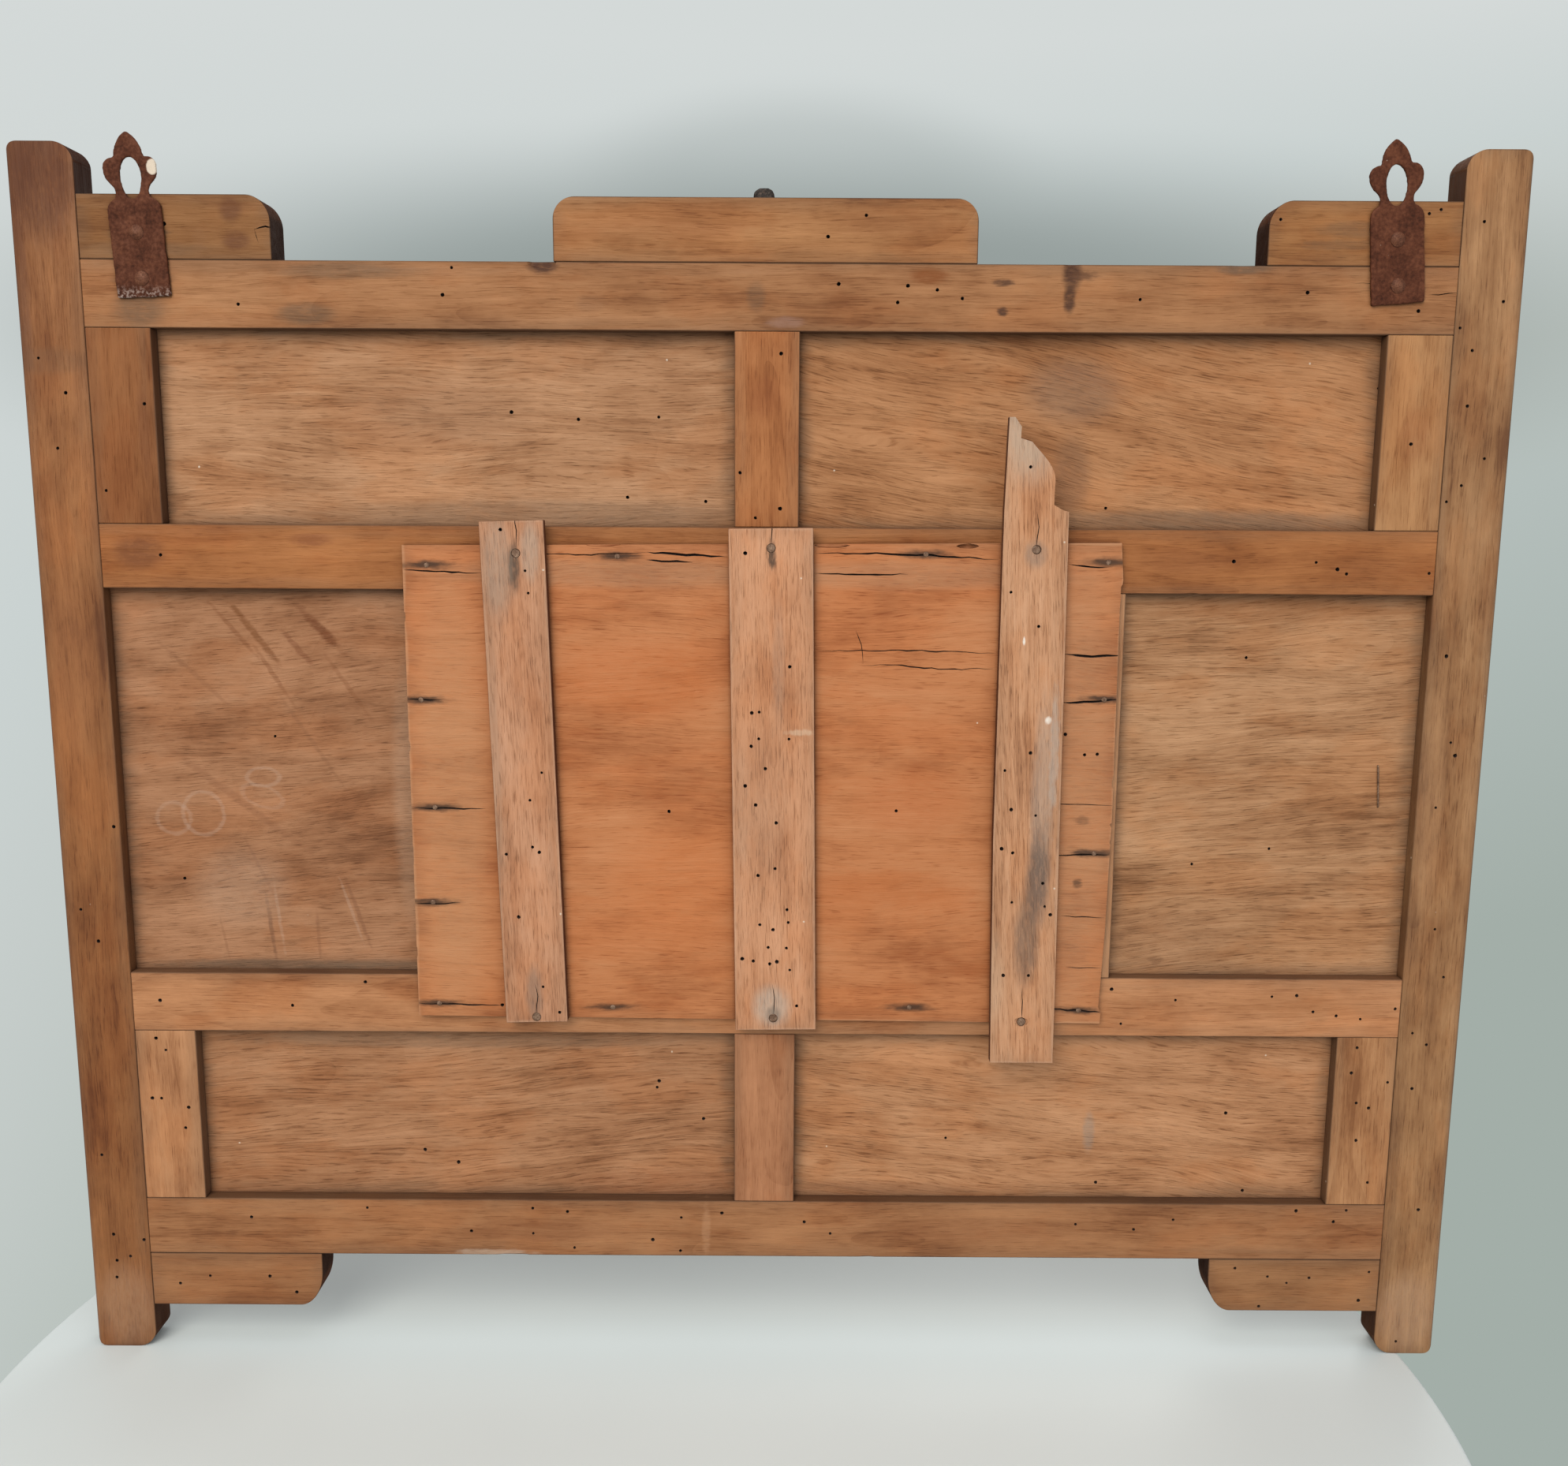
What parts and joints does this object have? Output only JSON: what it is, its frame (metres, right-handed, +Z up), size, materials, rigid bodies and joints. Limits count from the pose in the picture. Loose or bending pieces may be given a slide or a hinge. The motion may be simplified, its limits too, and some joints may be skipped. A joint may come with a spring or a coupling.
{
  "type": "wall-hung hall mirror and coat rack",
  "caption": "Wooden frame-and-panel hall board, seen from its back: posts, rails, thin panels, a nailed board and battens over the mirror, iron hanging eyes and coat hooks.",
  "frame": {"origin": "on the board's centre line, in the plane of the frame's back face, level with the centres of the two hanging eyes", "axes": "+Z up; -Y towards the wall, so the back that carries the eyes faces -Y and the mirror and hooks face +Y; +X to the right as seen from behind"},
  "size_m": [0.8, 0.0741, 0.6887],
  "materials": {
    "post_wood": "old waxed fruitwood, red-brown and worn",
    "frame_wood": "planed and dry, warm tan with worm holes",
    "panel_wood": "thin rotary-cut board, dry and fuzzy grained",
    "board_wood": "orange brown, split along the grain",
    "batten_wood": "grey-tan, sawn and weathered",
    "rusty_iron": "forged plate under old rust",
    "nail_iron": "dull nails and wire, darkened",
    "black_iron": "forged strap, blackened",
    "mirror": "old silvered glass"
  },
  "bodies": {
    "root": {"left_post": "post_wood", "right_post": "post_wood", "top_rail": "frame_wood", "upper_middle_rail": "frame_wood", "lower_middle_rail": "frame_wood", "bottom_rail": "frame_wood", "upper_left_stile": "frame_wood", "upper_right_stile": "frame_wood", "upper_centre_muntin": "frame_wood", "middle_left_muntin": "frame_wood", "middle_right_muntin": "frame_wood", "lower_left_stile": "frame_wood", "lower_right_stile": "frame_wood", "lower_centre_muntin": "frame_wood", "top_left_block": "frame_wood", "top_right_block": "frame_wood", "bottom_left_block": "frame_wood", "bottom_right_block": "frame_wood", "crest": "frame_wood", "block_dowels": "frame_wood", "upper_left_panel": "panel_wood", "upper_right_panel": "panel_wood", "middle_left_panel": "panel_wood", "middle_right_panel": "panel_wood", "lower_left_panel": "panel_wood", "lower_right_panel": "panel_wood", "back_board": "board_wood", "left_batten": "batten_wood", "middle_batten": "batten_wood", "right_batten": "batten_wood", "left_hanging_eye": "rusty_iron", "right_hanging_eye": "rusty_iron", "hanger_nails": "rusty_iron", "board_nails": "nail_iron", "batten_nails": "nail_iron", "panel_staple": "nail_iron", "left_coat_hook": "black_iron", "centre_coat_hook": "black_iron", "right_coat_hook": "black_iron", "hook_nails": "black_iron", "mirror_glass": "mirror"}
  },
  "joints": []
}
